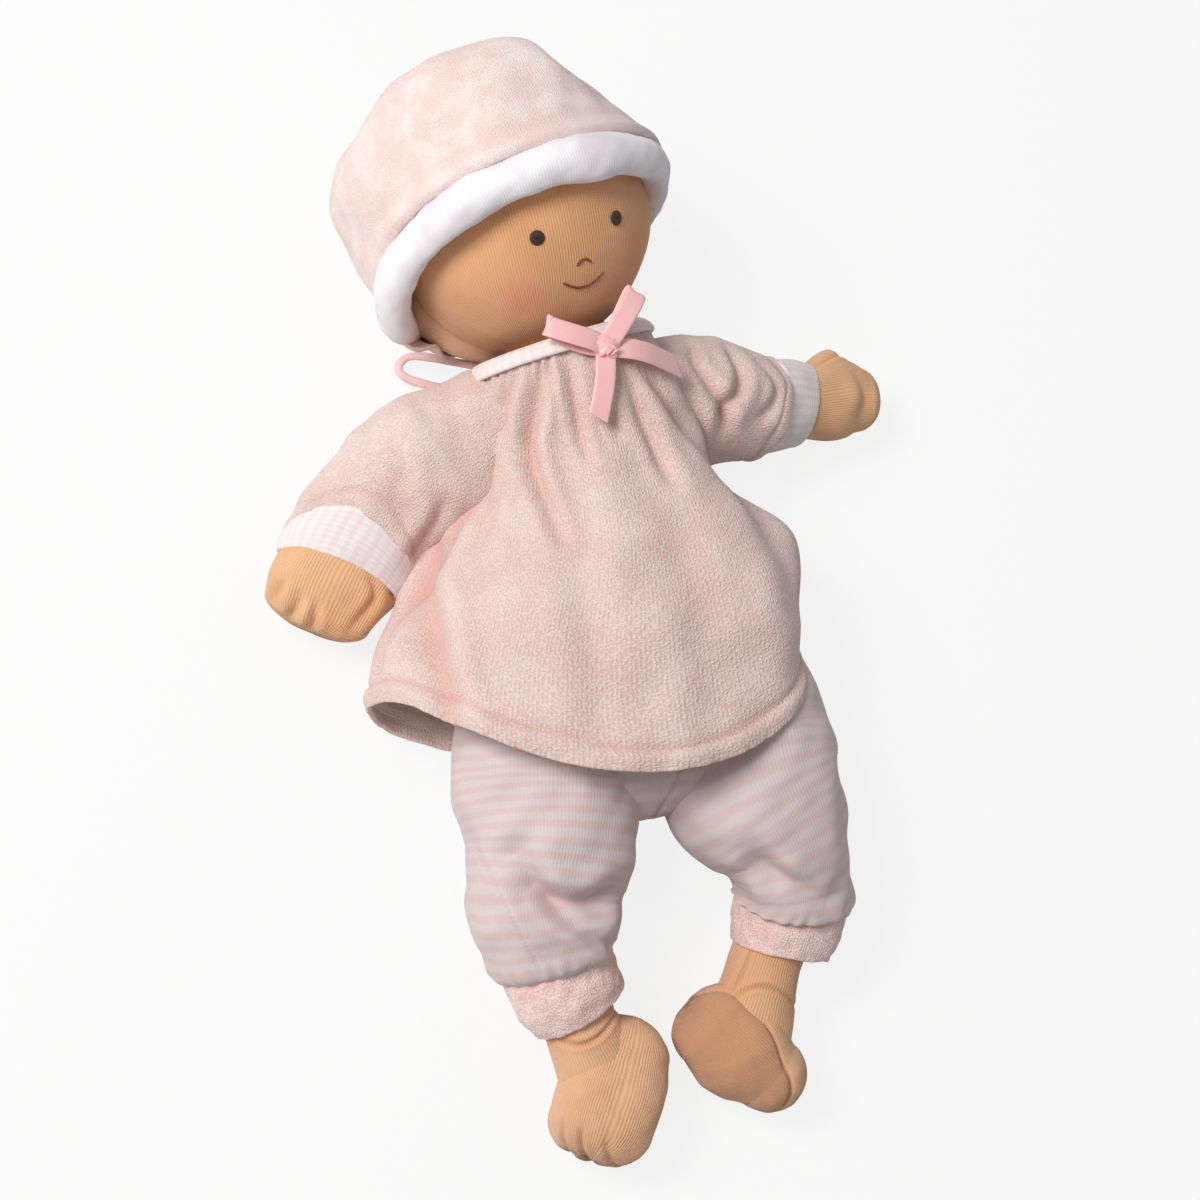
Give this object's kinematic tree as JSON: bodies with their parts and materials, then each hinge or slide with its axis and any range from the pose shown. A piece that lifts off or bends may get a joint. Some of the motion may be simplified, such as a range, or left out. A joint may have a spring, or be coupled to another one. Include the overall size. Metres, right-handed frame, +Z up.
{
  "type": "baby doll",
  "caption": "Soft cloth baby doll lying on its back, in a rolled-brim hat, a flared smock with a ribbon bow and striped trousers",
  "frame": {"origin": "on the surface the doll lies on, under the middle of its back", "axes": "+X the doll's left, +Y towards its head, +Z up, out of its front"},
  "size_m": [0.2275, 0.3698, 0.109],
  "materials": {
    "tan_knit": "fine rib knit",
    "polyester_filling": "loose fibre",
    "smock_velour": "velour",
    "hat_velour": "velour",
    "brim_jersey": "fine jersey",
    "striped_jersey": "striped jersey",
    "satin_ribbon": "satin",
    "brown_thread": "embroidery",
    "russet_thread": "embroidery"
  },
  "bodies": {
    "root": {"body_front_panel": "tan_knit", "body_back_panel": "tan_knit", "body_filling": "polyester_filling", "smock_front": "smock_velour", "smock_back": "smock_velour", "neck_binding": "striped_jersey", "neck_tie_loop": "striped_jersey", "ribbon_bow": "satin_ribbon", "left_trouser_seat": "striped_jersey", "right_trouser_seat": "striped_jersey", "trouser_waistband": "striped_jersey"},
    "head": {"face_panel": "tan_knit", "head_back_panel": "tan_knit", "head_filling": "polyester_filling", "right_eye": "brown_thread", "left_eye": "brown_thread", "nose_stitch": "russet_thread", "mouth_stitch": "russet_thread"},
    "hat": {"hat_brim_roll": "brim_jersey", "hat_crown": "hat_velour"},
    "right_arm": {"right_arm_front_panel": "tan_knit", "right_arm_back_panel": "tan_knit", "right_arm_filling": "polyester_filling", "right_sleeve": "smock_velour", "right_sleeve_cuff": "striped_jersey"},
    "left_arm": {"left_arm_front_panel": "tan_knit", "left_arm_back_panel": "tan_knit", "left_arm_filling": "polyester_filling", "left_sleeve": "smock_velour", "left_sleeve_cuff": "striped_jersey"},
    "right_leg": {"right_leg_skin": "tan_knit", "right_foot_upper": "tan_knit", "right_foot_sole": "tan_knit", "right_leg_filling": "polyester_filling", "right_trouser_leg": "striped_jersey", "right_trouser_cuff": "smock_velour"},
    "left_leg": {"left_leg_skin": "tan_knit", "left_foot_upper": "tan_knit", "left_foot_sole": "tan_knit", "left_leg_filling": "polyester_filling", "left_trouser_leg": "striped_jersey", "left_trouser_cuff": "smock_velour"}
  },
  "joints": [
    {"name": "head_turn", "type": "hinge", "parent": "root", "child": "head", "pos_m": [-0.0062, 0.0829, 0.0465], "axis": [-0.1556, 0.9823, 0.1045], "range_deg": [-40, 40]},
    {"name": "hat_lift", "type": "slide", "parent": "head", "child": "hat", "axis": [-0.1745, 0.9723, -0.1556], "range_m": [0, 0.06]},
    {"name": "right_arm_lift", "type": "hinge", "parent": "root", "child": "right_arm", "pos_m": [-0.05, 0.056, 0.029], "axis": [-0.5736, 0.8191, 0], "range_deg": [0, 45]},
    {"name": "left_arm_lift", "type": "hinge", "parent": "root", "child": "left_arm", "pos_m": [0.05, 0.056, 0.029], "axis": [0.0349, -0.9994, 0], "range_deg": [0, 45]},
    {"name": "right_leg_lift", "type": "hinge", "parent": "root", "child": "right_leg", "pos_m": [-0.033, -0.058, 0.0325], "axis": [-1, 0, 0], "range_deg": [-15, 45]},
    {"name": "left_leg_lift", "type": "hinge", "parent": "root", "child": "left_leg", "pos_m": [0.033, -0.058, 0.0325], "axis": [-1, 0, 0], "range_deg": [-15, 45]}
  ]
}
